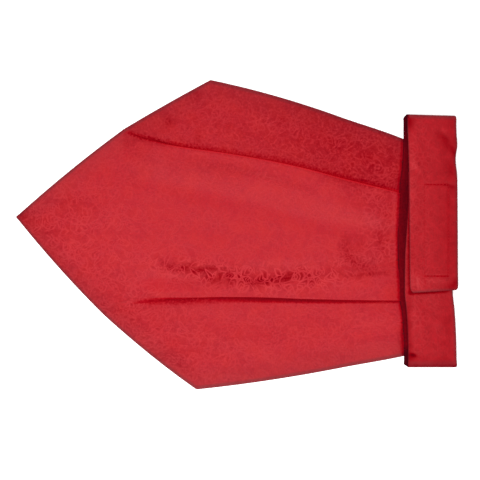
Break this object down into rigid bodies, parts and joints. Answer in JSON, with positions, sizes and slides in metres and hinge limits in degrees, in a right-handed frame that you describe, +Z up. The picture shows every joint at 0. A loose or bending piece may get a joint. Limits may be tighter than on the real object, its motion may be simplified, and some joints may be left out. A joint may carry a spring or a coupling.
{
  "type": "silk cravat with a hook-and-loop neckband, laid flat",
  "caption": "Pre-shaped red jacquard silk cravat laid flat: a pointed pleated blade sewn to a neckband that closes on itself with hook-and-loop tape.",
  "frame": {"origin": "on the table, below the centre of the whole cravat's bounding box", "axes": "+X from the blade's point to the neckband (the longest extent), +Y across the blade towards the neckband's over end, +Z up from the table (the shortest extent)"},
  "size_m": [0.3543, 0.2476, 0.0087],
  "materials": {
    "silk_jacquard": "red silk jacquard, soft satin sheen, self-coloured leaf and vine figure",
    "silk_band": "the same red silk over interlining, fine grain, soft sheen",
    "hook_tape": "dark red woven nylon with fine hooks",
    "loop_tape": "dark red brushed nylon loops"
  },
  "bodies": {
    "root": {"blade": "silk_jacquard", "neckband_front": "silk_band", "neckband_under_end": "silk_band", "neckband_over_end": "silk_band", "hook_tape": "hook_tape", "loop_tape": "loop_tape"}
  },
  "joints": []
}
